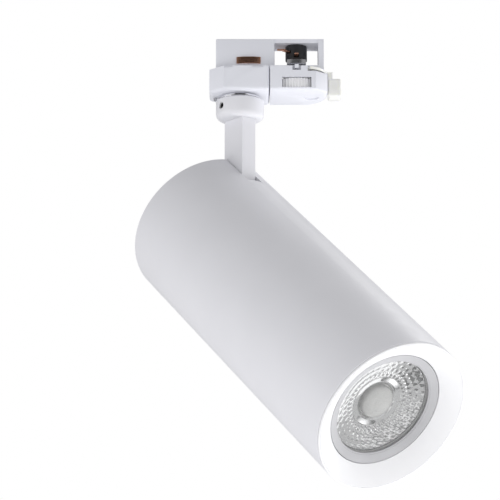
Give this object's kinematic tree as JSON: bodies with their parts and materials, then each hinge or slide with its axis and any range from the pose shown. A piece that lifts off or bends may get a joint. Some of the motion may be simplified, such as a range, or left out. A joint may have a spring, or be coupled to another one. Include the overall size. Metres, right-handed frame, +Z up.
{
  "type": "track spotlight",
  "caption": "Cylindrical LED spotlight on a swivelling, tilting arm under a three-circuit track adapter with a phase wheel and a locking lever.",
  "frame": {"origin": "on the swivel axis, in the plane where the adapter's shoulders meet the underside of the track", "axes": "+Z up into the track, +X along the track towards the locking lever"},
  "size_m": [0.1809, 0.1996, 0.2733],
  "materials": {
    "housing_white": "satin powder coat",
    "bezel_white": "satin paint",
    "arm_white": "satin powder coat",
    "adapter_white": "fine moulded grain",
    "lever_plastic": "slightly translucent",
    "knurled_white": "moulded ribs",
    "black_plastic": "fine grain",
    "chrome": "polished",
    "steel": "zinc plated",
    "brass": "satin",
    "copper": "bright copper",
    "aluminium": "as extruded",
    "mirror": "vacuum metallised facets",
    "trim_grey": "fine knurled grey",
    "clear_glass": "clear",
    "led_dome": "frosted silicone",
    "circuit_green": "solder mask",
    "ceramic_white": "ceramic",
    "rubber": "matt",
    "silicone": "clear grey silicone",
    "wire_red": "insulation",
    "wire_black": "insulation",
    "wire_sheath": "insulation",
    "capacitor_blue": "shrink sleeve",
    "winding_yellow": "tape"
  },
  "bodies": {
    "adapter": {"adapter_shell_left": "adapter_white", "adapter_shell_right": "adapter_white", "track_mast": "adapter_white", "shell_screw_left_front": "steel", "shell_screw_left_rear": "steel", "shell_screw_right_front": "steel", "shell_screw_right_rear": "steel", "earth_spring_front": "copper", "earth_spring_rear": "copper", "terminal_block": "ceramic_white", "terminal_screw_1": "brass", "terminal_screw_2": "brass", "terminal_screw_3": "brass", "nipple": "steel", "nipple_nut": "steel", "swivel_ring": "chrome", "swivel_stop": "steel"},
    "phase_selector": {"phase_wheel": "knurled_white", "phase_drum": "black_plastic", "live_contact_1": "copper", "live_contact_2": "copper", "live_contact_3": "copper"},
    "locking_lever": {"lock_lever": "lever_plastic", "lock_spindle": "steel", "lock_wing": "steel", "neutral_contact": "copper"},
    "arm": {"collar": "arm_white", "grub_screw": "black_plastic", "swivel_arm": "arm_white", "arm_lead": "wire_sheath"},
    "lamp": {"tilt_bracket": "steel", "bracket_screw_1": "steel", "bracket_screw_2": "steel", "tilt_axle": "steel", "tilt_nut": "steel", "rear_cap_screw_1": "steel", "rear_cap_screw_2": "steel", "led_board": "ceramic_white", "friction_washer_near": "black_plastic", "friction_washer_far": "black_plastic", "driver_case": "black_plastic", "optic_holder": "black_plastic", "housing_tube": "housing_white", "rear_cap": "housing_white", "driver_chassis": "aluminium", "heat_sink": "aluminium", "driver_board": "circuit_green", "driver_transformer": "winding_yellow", "driver_capacitor": "capacitor_blue", "led_lead_red": "wire_red", "led_lead_black": "wire_black", "thermal_pad": "rubber", "glass_gasket": "silicone", "led_dome": "led_dome", "reflector": "mirror", "front_glass": "clear_glass", "trim_ring": "trim_grey", "front_bezel": "bezel_white"}
  },
  "joints": [
    {"name": "phase_select", "type": "hinge", "parent": "adapter", "child": "phase_selector", "pos_m": [0.0328, 0, 0], "axis": [0, 0, 1], "range_deg": [-45, 90]},
    {"name": "lever_turn", "type": "hinge", "parent": "adapter", "child": "locking_lever", "pos_m": [0.0328, 0, 0], "axis": [0, 0, 1], "range_deg": [0, 90]},
    {"name": "swivel", "type": "hinge", "parent": "adapter", "child": "arm", "pos_m": [0, 0, -0.0157], "axis": [0, 0, 1], "range_deg": [-175, 175]},
    {"name": "tilt", "type": "hinge", "parent": "arm", "child": "lamp", "pos_m": [0, 0, -0.0704], "axis": [0.7815, 0.6239, 0], "range_deg": [-39.3, 50.7]}
  ]
}
